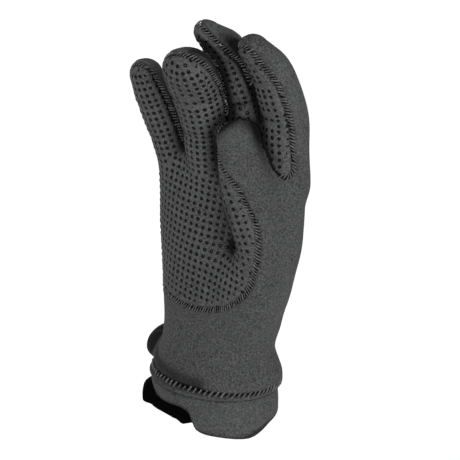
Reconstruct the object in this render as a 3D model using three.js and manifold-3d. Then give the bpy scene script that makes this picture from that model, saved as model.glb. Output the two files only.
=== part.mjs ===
// A right-hand neoprene glove with a dotted grip palm, standing upright as worn:
// fingers up and curled forward, palm to -Y, thumb to +X. Millimetres, +Z up.
// The origin is the middle of the cuff's opening, where the wrist goes in.
import * as THREE from 'three';
import Module from 'manifold-3d';

const wasm = await Module();
wasm.setup();

// Driving sizes

const WALL = 3;             // neoprene, with its knitted faces
const LINING = 1;           // black inner sleeve of the cuff
const SEAM_GAP = 0.3;       // between two sewn pieces
const LINING_GAP = 0.5;     // between the cuff and its inner sleeve
const CUFF_SEAM_Z = 34;     // where the cuff band meets the gauntlet
const LINING_TOP_Z = 46;    // the sleeve ends a little above that seam
const PALM_DEPTH_Y = 2;     // the palm panel wraps round the little finger's side to here
const BODY_SIDES = 28;      // points round the hand
const OUTSIDE = { inset: 0, sides: 15, every: 6 };      // a finger's skin: points round it,
const INSIDE = { inset: WALL, sides: 9, every: 10 };    // and steps from ring to ring
const FRAME_STEPS = 60;     // steps along a finger's bend
const WEDGE_STEPS = 8;      // steps round the arc between a finger's seams
const WEDGE_REACH = 2;      // how far that wedge stands out of the skin
const WEDGE_TIPS = [6, 18]; // how far past the last station it runs, in two steps
const FRONT_DEPTH = 90;     // how far the palm's outline is pushed to the front
const BLOB = { sides: 12, tilts: 7 };   // points round an ellipsoid, steps from pole to pole
const TIP_TILTS = [28, 54, 78];         // degrees up a round fingertip
const CAP_TILTS = [35, 65];             // degrees up the rounded edge at the finger roots
const INSIDE_DROP = 8;      // the hollow is cut from this far below the cuff's seam
const BEND_SOFTNESS = 9;    // half the length over which a joint bends

// The hand and wrist, from the hem to the finger roots: superellipse sections
// of half width a along X, half depth b along Y and exponent n.
const BODY_ROWS = [
  { z: 0, cx: -2.5, cy: 3, a: 45.5, b: 34, n: 2.0 },
  { z: 16, cx: -1.4, cy: 2, a: 43.7, b: 33, n: 2.0 },
  { z: 28, cx: -0.5, cy: 0, a: 43.5, b: 34, n: 2.0 },
  { z: 36, cx: 1.6, cy: 0, a: 45.1, b: 33, n: 2.0 },
  { z: 56, cx: 3, cy: 0, a: 38.2, b: 28.8, n: 2.1 },
  { z: 72, cx: 5.8, cy: 0, a: 39.6, b: 27, n: 2.2 },
  { z: 91, cx: 8.2, cy: 0, a: 42.9, b: 26, n: 2.2 },
  { z: 111, cx: 9.7, cy: 1, a: 46.2, b: 26, n: 2.15 },
  { z: 134, cx: 10.7, cy: 2, a: 49.6, b: 24, n: 2.15 },
  { z: 156, cx: 10.5, cy: 3, a: 49.7, b: 21.5, n: 2.3 },
  { z: 172, cx: 10.5, cy: 4, a: 48, b: 17.5, n: 2.45 },
];
const BODY_CAP = 12;        // height of the rounded edge above the last row

// A digit starts at base. yaw leans it to +X and pitch to -Y, and it curls towards pad, the
// azimuth its palm side faces: 0 is -Y, 90 is +X. Angles in degrees. A row of its profile is
// the share of its length, half the width and half the thickness there. The palm panel covers
// the stretch of its round between the azimuths of from and to.
const DIGITS = {
  little: {
    base: [-21.6, 2.6, 153], yaw: -11.4, pitch: 13, pad: 18, lengths: [38.5, 22.5, 16.5], bends: [6, 6],
    profile: [[0, 13.2, 12], [0.35, 11.7, 12], [0.62, 12, 11.8], [0.85, 11.6, 11.2], [1, 10, 9.6]],
    seam: [[0, -80, 80], [1, -80, 70]],
  },
  ring: {
    base: [1, 1, 157], yaw: 1.3, pitch: 15, pad: 14, lengths: [42, 28.5, 17], bends: [13, 16],
    profile: [[0, 15, 15], [0.35, 14.8, 15], [0.62, 14.8, 14.2], [0.85, 15.8, 13.8], [1, 15.1, 12.8]],
    seam: [[0, -80, 72], [0.4, -80, 92], [0.7, -85, 104], [1, -88, 100]],
  },
  middle: {
    base: [24.4, 2, 168.5], yaw: -3, pitch: -1, pad: -13, lengths: [45, 32, 19.5], bends: [24.5, 27],
    profile: [[0, 13.5, 13], [0.35, 13.2, 12.5], [0.62, 12.5, 12.4], [0.85, 11.6, 11.6], [1, 8.5, 7.3]],
    seam: [[0, -90, 72], [0.3, -120, 69], [1, -125, 60]],
  },
  index: {
    base: [48.9, 4.4, 166], yaw: 0, pitch: 3, pad: -23, lengths: [42, 28, 19], bends: [19, 21],
    profile: [[0, 13.9, 13.5], [0.35, 14.1, 13.4], [0.62, 14, 12.8], [0.85, 12.4, 10.8], [1, 9.8, 8]],
    seam: [[0, -95, 50], [1, -95, 38]],
  },
  thumb: {
    base: [41, -10, 90], yaw: 3.8, pitch: 9, pad: -120, lengths: [42, 38, 26], bends: [18, 10],
    profile: [[0, 10.5, 12], [0.4, 14, 13], [0.65, 17.5, 13], [0.85, 16.5, 12], [1, 12.8, 9.5]],
    seam: [[0, -150, 60], [0.4, -150, 45], [0.6, -150, 28], [0.75, -150, 6], [1, -175, -60]],
  },
};

// The ball of the thumb and the fold on the little finger's side of the wrist.
const THENAR = { at: [33, -15, 100], radii: [16, 13, 32] };
const WRIST_FOLD = { at: [-36, 9, 38.5], radii: [20.4, 20, 15] };

// Height of the cuff band's lifted hem and of the lining's edge, by azimuth from -Y to +X.
const HEM_ROWS = [
  { azimuth: -180, band: 7, lining: 9 },
  { azimuth: -130, band: 11, lining: 10 },
  { azimuth: -105, band: 20, lining: 11 },
  { azimuth: -75, band: 26, lining: 12 },
  { azimuth: -60, band: 25, lining: 11.5 },
  { azimuth: -50, band: 20.5, lining: 9.2 },
  { azimuth: -40, band: 16.5, lining: 9.3 },
  { azimuth: -20, band: 17.5, lining: 10.4 },
  { azimuth: -8, band: 18.5, lining: 10.8 },
  { azimuth: 1, band: 16.5, lining: 8.3 },
  { azimuth: 10, band: 5, lining: 6 },
  { azimuth: 18, band: 3, lining: 6 },
  { azimuth: 30, band: 2.3, lining: 6 },
  { azimuth: 56, band: 1, lining: 5 },
  { azimuth: 90, band: 8, lining: 11 },
  { azimuth: 120, band: 9, lining: 12 },
  { azimuth: 180, band: 7, lining: 9 },
];
const LINING_FLARE = 9;     // how far the bare lining swings out below the lifted hem
const FLARE_START = 2;      // and how far below the hem it starts to,
const FLARE_RUN = 9;        // and the height over which it does
const HEM_SPREAD = 0.22;    // radians beside it over which the hem must be lifted for that

// Lower and thumb-side edge of the palm panel, seen from the front: x, z.
const PALM_OUTLINE = [
  [-80, 91], [-26, 91], [-13, 87], [7, 86], [24, 90.5], [36, 99], [43, 108], [47, 122],
  [46, 137], [43, 150], [43, 163], [48, 171], [55, 178], [60, 186], [-80, 186],
];

// Materials

const CLOTHS = {
  smooth: new THREE.MeshStandardMaterial({ color: 0x4a4a4b, roughness: 0.85, metalness: 0 }),
  grip: new THREE.MeshStandardMaterial({ color: 0x39393a, roughness: 0.7, metalness: 0 }),
  lining: new THREE.MeshStandardMaterial({ color: 0x0a0a0b, roughness: 0.95, metalness: 0 }),
};

// Solids

const radians = THREE.MathUtils.degToRad;
const smooth = (t) => THREE.MathUtils.smoothstep(t, 0, 1);

/** Value of a table of rows at t, straight between rows. key names the column. */
function lookUp(rows, at, key, t) {
  const last = rows.length - 1;
  let i = 0;
  while (i < last - 1 && t > rows[i + 1][at]) i += 1;
  const [low, high] = [rows[i], rows[i + 1]];
  const share = THREE.MathUtils.clamp((t - low[at]) / (high[at] - low[at]), 0, 1);
  return THREE.MathUtils.lerp(low[key], high[key], share);
}

/** Closed skin over rings of equally many points, fanned shut at both ends. */
function skin(rings) {
  const sides = rings[0].length;
  const points = rings.flat();
  const centre = (ring) => ring.reduce((sum, p) => sum.add(p), new THREE.Vector3())
    .divideScalar(ring.length);
  const [foot, head] = [points.length, points.length + 1];
  points.push(centre(rings[0]), centre(rings.at(-1)));
  const faces = [];
  for (let k = 0; k < sides; k += 1) {
    const next = (k + 1) % sides;
    faces.push(foot, next, k);
    for (let i = 0; i + 1 < rings.length; i += 1) {
      const [low, high] = [i * sides, (i + 1) * sides];
      faces.push(low + k, low + next, high + next, low + k, high + next, high + k);
    }
    const top = (rings.length - 1) * sides;
    faces.push(top + k, top + next, head);
  }
  const geometry = new THREE.BufferGeometry().setFromPoints(points);
  geometry.setIndex(faces);
  return geometry;
}

/** The solid inside an indexed geometry. */
function solid(geometry) {
  return new wasm.Manifold(new wasm.Mesh({
    numProp: 3,
    vertProperties: Float32Array.from(geometry.attributes.position.array),
    triVerts: Uint32Array.from(geometry.index.array),
  }));
}

/** An ellipsoid, drawn in by inset on every side. */
function blob({ at, radii }, inset = 0) {
  const rings = [];
  for (let i = 1; i < BLOB.tilts; i += 1) {
    const tilt = (i / BLOB.tilts - 0.5) * Math.PI;
    rings.push(ringOf(BLOB.sides, (angle) => new THREE.Vector3(
      at[0] + (radii[0] - inset) * Math.cos(tilt) * Math.cos(angle),
      at[1] + (radii[1] - inset) * Math.cos(tilt) * Math.sin(angle),
      at[2] + (radii[2] - inset) * Math.sin(tilt),
    )));
  }
  return solid(skin(rings));
}

/** Points of one ring, counter-clockwise as seen from its far end. */
function ringOf(sides, pointAt) {
  return Array.from({ length: sides }, (_, k) => pointAt((2 * Math.PI * k) / sides));
}

/** A point of the hand's section at height z, grown by outset. */
function bodyPoint(row, angle, z, outset) {
  const [c, s] = [Math.cos(angle), Math.sin(angle)];
  const power = 2 / row.n;
  return new THREE.Vector3(
    row.cx + (row.a + outset) * Math.sign(c) * Math.abs(c) ** power,
    row.cy + (row.b + outset) * Math.sign(s) * Math.abs(s) ** power,
    z,
  );
}

/** The hand's section between its rows. */
function bodyRowAt(z) {
  const row = { z };
  for (const key of ['cx', 'cy', 'a', 'b', 'n']) row[key] = lookUp(BODY_ROWS, 'z', key, z);
  return row;
}

/** The hand without digits, from a height up, drawn in by inset, with its rounded top. */
function handSolid(fromZ, inset) {
  const rows = [bodyRowAt(fromZ), ...BODY_ROWS.filter((row) => row.z > fromZ + 1)];
  const rings = rows.map((row) => ringOf(BODY_SIDES, (t) => bodyPoint(row, t, row.z, -inset)));
  const last = BODY_ROWS.at(-1);
  for (const tilt of CAP_TILTS) {
    const shrink = Math.cos(radians(tilt));
    const rounded = { ...last, a: (last.a - inset) * shrink, b: (last.b - inset) * shrink };
    const z = last.z + (BODY_CAP - inset) * Math.sin(radians(tilt));
    rings.push(ringOf(BODY_SIDES, (t) => bodyPoint(rounded, t, z, 0)));
  }
  return solid(skin(rings));
}

/** Stations along a digit: centre, directions and half sizes, by share of the length. */
function digitFrames(digit, every = OUTSIDE.every) {
  const [yaw, pitch, pad] = [digit.yaw, digit.pitch, digit.pad].map(radians);
  const along = new THREE.Vector3(Math.tan(yaw), -Math.tan(pitch), 1).normalize();
  const palm = new THREE.Vector3(Math.sin(pad), -Math.cos(pad), 0);
  palm.addScaledVector(along, -palm.dot(along)).normalize();
  const side = new THREE.Vector3().crossVectors(along, palm);
  const length = digit.lengths.reduce((sum, part) => sum + part, 0);
  const joints = [digit.lengths[0], digit.lengths[0] + digit.lengths[1]];
  const angleAt = (s) => joints.reduce((sum, joint, i) => sum
    + radians(digit.bends[i]) * smooth((s - joint + BEND_SOFTNESS) / (2 * BEND_SOFTNESS)), 0);
  const centre = new THREE.Vector3(...digit.base);
  const frames = [];
  for (let i = 0; i <= FRAME_STEPS; i += 1) {
    const share = i / FRAME_STEPS;
    const angle = angleAt(share * length);
    const ahead = along.clone().multiplyScalar(Math.cos(angle))
      .addScaledVector(palm, Math.sin(angle));
    const facing = palm.clone().multiplyScalar(Math.cos(angle))
      .addScaledVector(along, -Math.sin(angle));
    frames.push({
      share, centre: centre.clone(), ahead, facing, side,
      width: lookUp(digit.profile, 0, 1, share), thick: lookUp(digit.profile, 0, 2, share),
    });
    centre.addScaledVector(ahead, length / FRAME_STEPS);
  }
  return frames.filter((_, i) => i % every === 0);
}

/** A digit's outside or inside as a bent tube with round ends. */
function digitSolid(digit, { inset, sides, every }) {
  const frames = digitFrames(digit, every);
  const ring = (frame, shrink, lift) => ringOf(sides, (t) => frame.centre.clone()
    .addScaledVector(frame.facing, (frame.thick - inset) * shrink * Math.cos(t))
    .addScaledVector(frame.side, (frame.width - inset) * shrink * Math.sin(t))
    .addScaledVector(frame.ahead, lift));
  const dome = (end, way) => TIP_TILTS.map((tilt) => {
    const height = ((end.width + end.thick) / 2 - inset) * Math.sin(radians(tilt));
    return ring(end, Math.cos(radians(tilt)), way * height);
  });
  const body = frames.map((frame) => ring(frame, 1, 0));
  return solid(skin([...dome(frames[0], -1).reverse(), ...body, ...dome(frames.at(-1), 1)]));
}

/** The wedge of a digit between its seams, or the rest of its round. */
function digitWedge(digit, rest = false) {
  const frames = digitFrames(digit);
  const tip = frames.at(-1);
  const lengthen = (frame, by) => ({
    ...frame, centre: frame.centre.clone().addScaledVector(frame.ahead, by),
  });
  const rings = [...frames, ...WEDGE_TIPS.map((by) => lengthen(tip, by))].map((frame) => {
    let from = lookUp(digit.seam, 0, 1, frame.share);
    let to = lookUp(digit.seam, 0, 2, frame.share);
    if (rest) [from, to] = [to, from + 360];
    const radius = Math.max(frame.width, frame.thick) + WEDGE_REACH;
    const arc = Array.from({ length: WEDGE_STEPS + 1 }, (_, k) => {
      const azimuth = radians(from + ((to - from) * k) / WEDGE_STEPS);
      const away = new THREE.Vector3(Math.sin(azimuth), -Math.cos(azimuth), 0);
      away.addScaledVector(frame.ahead, -away.dot(frame.ahead)).normalize();
      return frame.centre.clone().addScaledVector(away, radius);
    });
    return [frame.centre.clone(), ...arc];
  });
  return solid(skin(rings));
}

/** Everything that belongs to the palm panel. */
function palmSide() {
  const outline = new THREE.Shape(PALM_OUTLINE.map(([x, z]) => new THREE.Vector2(x, z)));
  const front = new THREE.ExtrudeGeometry(outline, { depth: FRONT_DEPTH, bevelEnabled: false });
  front.rotateX(Math.PI / 2).translate(0, PALM_DEPTH_Y, 0);
  let region = solid(weld(front)).subtract(digitWedge(DIGITS.thumb, true));
  for (const digit of Object.values(DIGITS)) region = region.add(digitWedge(digit));
  return region;
}

/** A solid grown by a small step along each axis. */
function grown(part, step) {
  let all = part;
  for (const way of [-step, step]) {
    for (const shift of [[way, 0, 0], [0, way, 0], [0, 0, way]]) {
      all = all.add(part.translate(shift));
    }
  }
  return all;
}

/** An indexed copy of a geometry, with equal corners made one. */
function weld(geometry) {
  const source = geometry.attributes.position;
  const [points, index, seen] = [[], [], new Map()];
  for (let i = 0; i < source.count; i += 1) {
    const p = new THREE.Vector3().fromBufferAttribute(source, i);
    const key = p.toArray().map((v) => v.toFixed(4)).join();
    if (!seen.has(key)) seen.set(key, points.push(p) - 1);
    index.push(seen.get(key));
  }
  const welded = new THREE.BufferGeometry().setFromPoints(points);
  welded.setIndex(index);
  return welded;
}

/** The outside or inside of the whole hand, from a height up. */
function wholeHand(fromZ, face) {
  let hand = handSolid(fromZ, face.inset);
  for (const part of [THENAR, WRIST_FOLD]) hand = hand.add(blob(part, face.inset));
  for (const digit of Object.values(DIGITS)) hand = hand.add(digitSolid(digit, face));
  return hand;
}

/** A sleeve between two skins, each given as point(angle, level). */
function sleeve(levels, outerPoint, innerPoint) {
  const side = (pointAt) => levels.map((level) => ringOf(BODY_SIDES, (t) => pointAt(t, level)));
  const [outer, inner] = [side(outerPoint), side(innerPoint)];
  const rings = [...outer, ...inner.reverse()];
  const sides = BODY_SIDES;
  const faces = [];
  for (let i = 0; i < rings.length; i += 1) {
    const [low, high] = [i * sides, ((i + 1) % rings.length) * sides];
    for (let k = 0; k < sides; k += 1) {
      const next = (k + 1) % sides;
      faces.push(low + k, low + next, high + next, low + k, high + next, high + k);
    }
  }
  const geometry = new THREE.BufferGeometry().setFromPoints(rings.flat());
  geometry.setIndex(faces);
  return solid(geometry);
}

/** Height of a hem at an angle counted from +X, or the lowest within spread of it. */
function hemHeight(key, angle, spread = 0) {
  const heights = [-spread, 0, spread].map((turn) => {
    const azimuth = THREE.MathUtils.radToDeg(angle + turn) + 90;
    return lookUp(HEM_ROWS, 'azimuth', key, THREE.MathUtils.euclideanModulo(azimuth + 180, 360) - 180);
  });
  return Math.min(...heights);
}

/** The band of the cuff, below the seam, with its lifted hem. */
function cuffBand() {
  const point = (outset) => (angle, level) => {
    const z = THREE.MathUtils.lerp(hemHeight('band', angle), CUFF_SEAM_Z - SEAM_GAP, level);
    return bodyPoint(bodyRowAt(z), angle, z, outset);
  };
  return sleeve([0, 0.2, 0.4, 0.6, 0.8, 1], point(0), point(-WALL));
}

/** The black sleeve inside the cuff, which stands out where the hem is lifted. */
function cuffLining() {
  const point = (thickness) => (angle, level) => {
    const z = THREE.MathUtils.lerp(hemHeight('lining', angle), LINING_TOP_Z, level);
    const bare = smooth((hemHeight('band', angle, HEM_SPREAD) - FLARE_START - z) / FLARE_RUN);
    const outset = bare * LINING_FLARE - WALL - LINING_GAP - thickness;
    return bodyPoint(bodyRowAt(z), angle, z, outset);
  };
  return sleeve([0, 0.1, 0.2, 0.35, 0.55, 0.8, 1], point(0), point(LINING));
}

// Assembly

/** The largest connected body of a solid. */
function mainBody(part) {
  return part.decompose().sort((one, two) => two.volume() - one.volume())[0];
}

/** A named mesh of a solid. */
function mesh(name, part, cloth) {
  const { vertProperties, triVerts } = part.getMesh();
  const geometry = new THREE.BufferGeometry();
  geometry.setAttribute('position', new THREE.BufferAttribute(Float32Array.from(vertProperties), 3));
  geometry.setIndex(new THREE.BufferAttribute(Uint32Array.from(triVerts), 1));
  geometry.computeVertexNormals();
  const node = new THREE.Mesh(geometry, cloth);
  node.name = name;
  return node;
}

const shell = wholeHand(CUFF_SEAM_Z, OUTSIDE)
  .subtract(wholeHand(CUFF_SEAM_Z - INSIDE_DROP, INSIDE))
  .trimByPlane([0, 0, 1], CUFF_SEAM_Z);
const palmPanel = mainBody(shell.intersect(palmSide()));
const backPanel = mainBody(shell.subtract(palmPanel).subtract(grown(palmSide(), SEAM_GAP)));

const glove = new THREE.Group();
glove.name = 'neoprene_glove';
glove.add(
  mesh('back_panel', backPanel, CLOTHS.smooth),
  mesh('palm_panel', palmPanel, CLOTHS.grip),
  mesh('cuff_band', cuffBand(), CLOTHS.smooth),
  mesh('cuff_lining', cuffLining(), CLOTHS.lining),
);

export default glove;
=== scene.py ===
"""A right-hand neoprene glove with a dotted grip palm, upright as worn.

Tables hold millimetres in the part's own frame: +Z to the fingertips, -Y to the palm side,
+X to the thumb, with the origin in the middle of the cuff's opening.
"""
import logging
import math
from dataclasses import dataclass, field
from enum import Enum
from typing import Any, Callable, Sequence

import bpy
import numpy as np
from mathutils import Matrix, Vector


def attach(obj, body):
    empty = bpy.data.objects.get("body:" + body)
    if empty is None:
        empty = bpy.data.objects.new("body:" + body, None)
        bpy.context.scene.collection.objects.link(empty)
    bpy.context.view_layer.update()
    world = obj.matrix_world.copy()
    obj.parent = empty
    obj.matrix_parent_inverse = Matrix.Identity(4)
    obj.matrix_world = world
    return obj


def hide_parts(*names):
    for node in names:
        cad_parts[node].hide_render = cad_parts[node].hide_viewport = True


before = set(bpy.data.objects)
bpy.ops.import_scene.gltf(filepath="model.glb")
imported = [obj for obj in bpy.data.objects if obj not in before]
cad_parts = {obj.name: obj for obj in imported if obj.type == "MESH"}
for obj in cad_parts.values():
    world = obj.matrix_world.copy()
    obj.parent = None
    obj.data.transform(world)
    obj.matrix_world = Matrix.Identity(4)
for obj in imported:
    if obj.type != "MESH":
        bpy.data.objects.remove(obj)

log = logging.getLogger("glove")
MM = 0.001
BODY = "root"
Array = np.ndarray


# Small maths

def ramp(t: Array) -> Array:
    """Smooth step from 0 to 1 as t goes from 0 to 1."""
    t = np.clip(t, 0, 1)
    return t * t * (3 - 2 * t)


def rise(values: Array, start: float, end: float) -> Array:
    """Smooth step from 0 at start to 1 at end, which may lie below start."""
    return ramp((values - start) / (end - start))


def bell(distance: Array, width: float) -> Array:
    """A soft bump of height 1 at distance 0."""
    return np.exp(-(distance / width) ** 2)


def unit(vectors: Array) -> Array:
    """Vectors scaled to length 1 along their last axis."""
    return vectors / np.maximum(np.linalg.norm(vectors, axis=-1, keepdims=True), 1e-9)


def soft_min(one: Array, two: Array, blend: float) -> Array:
    """The smaller of two fields, rounded where they are within blend of each other."""
    share = np.clip(0.5 + 0.5 * (two - one) / blend, 0, 1)
    return two * (1 - share) + one * share - blend * share * (1 - share)


def soft_max(one: Array, two: Array, blend: float) -> Array:
    """The larger of two fields, rounded where they are within blend of each other."""
    return -soft_min(-one, -two, blend)


class SmoothTable:
    """Monotone cubic curves through the rows of a table."""

    def __init__(self, keys: Sequence[float], rows: Sequence[Sequence[float]]) -> None:
        """Fit the slopes.

        Args:
            keys: rising positions of the rows.
            rows: the values of each row.
        """
        self.keys = np.array(keys, float)
        self.rows = np.array(rows, float)
        gap = np.diff(self.keys)[:, None]
        slope = np.diff(self.rows, axis=0) / gap
        before, after = slope[:-1], slope[1:]
        one, two = 2 * gap[1:] + gap[:-1], gap[1:] + 2 * gap[:-1]
        same_way = before * after > 0
        safe_before, safe_after = np.where(same_way, before, 1), np.where(same_way, after, 1)
        inner = np.where(same_way, (one + two) / (one / safe_before + two / safe_after), 0)
        self.slopes = np.concatenate([slope[:1], inner, slope[-1:]])

    def at(self, keys: Array) -> Array:
        """Values at keys, held at the ends of the table.

        Args:
            keys: positions to read.

        Returns:
            One row of values for each position.
        """
        keys = np.clip(keys, self.keys[0], self.keys[-1])
        i = np.clip(np.searchsorted(self.keys, keys, side="right") - 1, 0, len(self.keys) - 2)
        gap = (self.keys[i + 1] - self.keys[i])[..., None]
        t = ((keys - self.keys[i])[..., None]) / gap
        start, end = self.rows[i], self.rows[i + 1]
        leave, arrive = self.slopes[i] * gap, self.slopes[i + 1] * gap
        return ((2 * t**3 - 3 * t**2 + 1) * start + (t**3 - 2 * t**2 + t) * leave
                + (3 * t**2 - 2 * t**3) * end + (t**3 - t**2) * arrive)


# Form of the hand

@dataclass(frozen=True)
class HandRow:
    """One superellipse section of the hand: height, centre, half sizes and exponent."""

    z: float
    cx: float
    cy: float
    a: float
    b: float
    n: float


HAND_ROWS = (
    HandRow(0, -2.5, 3, 45.5, 34, 2.0),
    HandRow(16, -1.4, 2, 43.7, 33, 2.0),
    HandRow(28, -0.5, 0, 43.5, 34, 2.0),
    HandRow(36, 1.6, 0, 45.1, 33, 2.0),
    HandRow(56, 3, 0, 38.2, 28.8, 2.1),
    HandRow(72, 5.8, 0, 39.6, 27, 2.2),
    HandRow(91, 8.2, 0, 42.9, 26, 2.2),
    HandRow(111, 9.7, 1, 46.2, 26, 2.15),
    HandRow(134, 10.7, 2, 49.6, 24, 2.15),
    HandRow(156, 10.5, 3, 49.7, 21.5, 2.3),
    HandRow(172, 10.5, 4, 48, 17.5, 2.45),
)
HAND_CAP = 12.0
HAND_TABLE = SmoothTable([row.z for row in HAND_ROWS],
                         [(row.cx, row.cy, row.a, row.b, row.n) for row in HAND_ROWS])


@dataclass(frozen=True)
class SeamSpan:
    """Where the palm panel lies round a digit: from one azimuth to another, at a share."""

    share: float
    start: float
    end: float


@dataclass(frozen=True)
class JointCrease:
    """A fold across the pad side of a digit: its place, depth and half width."""

    at: float
    depth: float
    width: float


@dataclass
class Digit:
    """A finger or thumb: a tube bent in one plane, with a round tip.

    yaw leans it to +X and pitch to -Y, and it curls towards pad, an azimuth that is 0 at -Y
    and 90 at +X. A profile row is a share of the length, half the width, half the thickness.
    """

    name: str
    base: tuple[float, float, float]
    yaw: float
    pitch: float
    pad: float
    lengths: tuple[float, float, float]
    bends: tuple[float, float]
    profile: tuple[tuple[float, float, float], ...]
    seam: tuple[SeamSpan, ...]
    creases: tuple[JointCrease, ...] = ()
    seam_from: tuple[float, float] = (0.0, 0.0)
    softness: float = 9.0
    steps: int = 30
    length: float = field(init=False)

    def __post_init__(self) -> None:
        """Work out the bent centre line and its directions."""
        yaw, pitch, pad = (math.radians(angle) for angle in (self.yaw, self.pitch, self.pad))
        self.along = unit(np.array([math.tan(yaw), -math.tan(pitch), 1.0]))
        toward = np.array([math.sin(pad), -math.cos(pad), 0.0])
        self.palm = unit(toward - self.along * (toward @ self.along))
        self.side = np.cross(self.along, self.palm)
        self.length = float(sum(self.lengths))
        self.run = np.linspace(0, self.length, self.steps + 1)
        joints = (self.lengths[0], self.lengths[0] + self.lengths[1])
        angle = np.zeros_like(self.run)
        for joint, bend in zip(joints, self.bends):
            eased = ramp((self.run - joint + self.softness) / (2 * self.softness))
            angle += math.radians(bend) * eased
        self.angle = angle
        middle, step = (angle[1:] + angle[:-1]) / 2, self.length / self.steps
        self.ahead_run = np.concatenate([[0], np.cumsum(np.cos(middle) * step)])
        self.palm_run = np.concatenate([[0], np.cumsum(np.sin(middle) * step)])
        shares, half_width, half_thick = np.array(self.profile).T
        self.width = np.interp(self.run / self.length, shares, half_width)
        self.thick = np.interp(self.run / self.length, shares, half_thick)
        self.centres = (np.array(self.base) + self.along * self.ahead_run[:, None]
                        + self.palm * self.palm_run[:, None])
        reach = max(self.width.max(), self.thick.max()) + 14
        self.low, self.high = self.centres.min(0) - reach, self.centres.max(0) + reach

    def local(self, points: Array) -> tuple[Array, Array, Array, Array]:
        """Place points along the tube.

        Args:
            points: places in the part's frame.

        Returns:
            Share of the length, offset to the palm side, overshoot past an end, offset sideways.
        """
        away = points - np.array(self.base)
        w, h, sideways = away @ self.along, away @ self.palm, away @ self.side
        best = np.full(w.shape, 1e9)
        share, offset, over = np.zeros_like(w), np.zeros_like(w), np.zeros_like(w)
        for i in range(self.steps):
            dx = self.ahead_run[i + 1] - self.ahead_run[i]
            dy = self.palm_run[i + 1] - self.palm_run[i]
            size = math.hypot(dx, dy)
            px, py = w - self.ahead_run[i], h - self.palm_run[i]
            t = (px * dx + py * dy) / size**2
            held = np.clip(t, 0, 1)
            gap = (px - held * dx) ** 2 + (py - held * dy) ** 2
            near = gap < best
            best = np.where(near, gap, best)
            share = np.where(near, (i + held) / self.steps, share)
            offset = np.where(near, (dx * py - dy * px) / size, offset)
            over = np.where(near, (t - held) * size, over)
        return share, offset, over, sideways

    def directions(self, share: Array) -> tuple[Array, Array]:
        """Directions of the tube.

        Args:
            share: shares of the digit's length.

        Returns:
            Forward and pad-side directions at each share.
        """
        angle = np.interp(share * self.length, self.run, self.angle)[..., None]
        ahead = self.along * np.cos(angle) + self.palm * np.sin(angle)
        facing = self.palm * np.cos(angle) - self.along * np.sin(angle)
        return ahead, facing

    def sample(self, points: Array) -> tuple[Array, Array, Array]:
        """Distance to the digit's skin and to the edge of its palm panel.

        Args:
            points: places in the part's frame.

        Returns:
            Two signed distances, negative inside the skin and on the palm panel, and the
            share to which the digit's own seam holds there.
        """
        share, offset, over, sideways = self.local(points)
        half_width = np.interp(share * self.length, self.run, self.width)
        half_thick = np.interp(share * self.length, self.run, self.thick)
        cap = (half_width + half_thick) / 2
        q = np.sqrt((sideways / half_width) ** 2 + (offset / half_thick) ** 2 + (over / cap) ** 2)
        q = q + 1e-9
        skin = np.sqrt(sideways**2 + offset**2 + over**2) * (1 - 1 / q)
        pad_side = ramp(offset / half_thick + 0.4)
        for crease in self.creases:
            fold = bell(share * self.length - crease.at, crease.width)
            skin = skin + crease.depth * fold * pad_side
        ahead, facing = self.directions(share)
        spans = np.array([(span.share, span.start, span.end) for span in self.seam])
        start, end = (np.interp(share, spans[:, 0], spans[:, i]) for i in (1, 2))
        middle, half = np.radians((start + end) / 2), np.radians((end - start) / 2)
        heading = np.stack([np.sin(middle), -np.cos(middle), np.zeros_like(middle)], -1)
        heading = unit(heading - ahead * (heading * ahead).sum(-1, keepdims=True))
        from_axis = facing * offset[..., None] + self.side * sideways[..., None]
        edge = cap * np.cos(half) - (from_axis * heading).sum(-1)
        first, full = self.seam_from
        grip = rise(share * self.length, first, full) if full > first else np.ones_like(share)
        return skin, edge, grip


LITTLE = Digit("little", (-21.6, 2.6, 153), -11.4, 13, 18, (38.5, 22.5, 16.5), (6, 6),
               ((0, 13.2, 12), (0.35, 11.7, 12), (0.62, 12, 11.8), (0.85, 11.6, 11.2),
                (1, 10, 9.6)),
               (SeamSpan(0, -80, 80), SeamSpan(1, -80, 70)),
               (JointCrease(38, 0.5, 2.5), JointCrease(60, 0.4, 2)))
RING = Digit("ring", (1, 1, 157), 1.3, 15, 14, (42, 28.5, 17), (13, 16),
             ((0, 15, 15), (0.35, 14.8, 15), (0.62, 14.8, 14.2), (0.85, 15.8, 13.8),
              (1, 15.1, 12.8)),
             (SeamSpan(0, -80, 72), SeamSpan(0.4, -80, 92), SeamSpan(0.7, -85, 104),
              SeamSpan(1, -88, 100)),
             (JointCrease(42, 0.9, 3), JointCrease(70, 0.8, 2.5)))
MIDDLE = Digit("middle", (24.4, 2, 168.5), -3, -1, -13, (45, 32, 19.5), (24.5, 27),
               ((0, 13.5, 13), (0.35, 13.2, 12.5), (0.62, 12.5, 12.4), (0.85, 11.6, 11.6),
                (1, 8.5, 7.3)),
               (SeamSpan(0, -90, 72), SeamSpan(0.3, -120, 69), SeamSpan(1, -125, 60)),
               (JointCrease(45, 1.6, 3.5), JointCrease(77, 0.6, 2.5)))
INDEX = Digit("index", (48.9, 4.4, 166), 0, 3, -23, (42, 28, 19), (19, 21),
              ((0, 13.9, 13.5), (0.35, 14.1, 13.4), (0.62, 14, 12.8), (0.85, 12.4, 10.8),
               (1, 9.8, 8)),
              (SeamSpan(0, -95, 50), SeamSpan(1, -95, 38)),
              (JointCrease(42, 0.7, 3), JointCrease(70, 0.5, 2.5)), seam_from=(2.0, 14.0))
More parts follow.
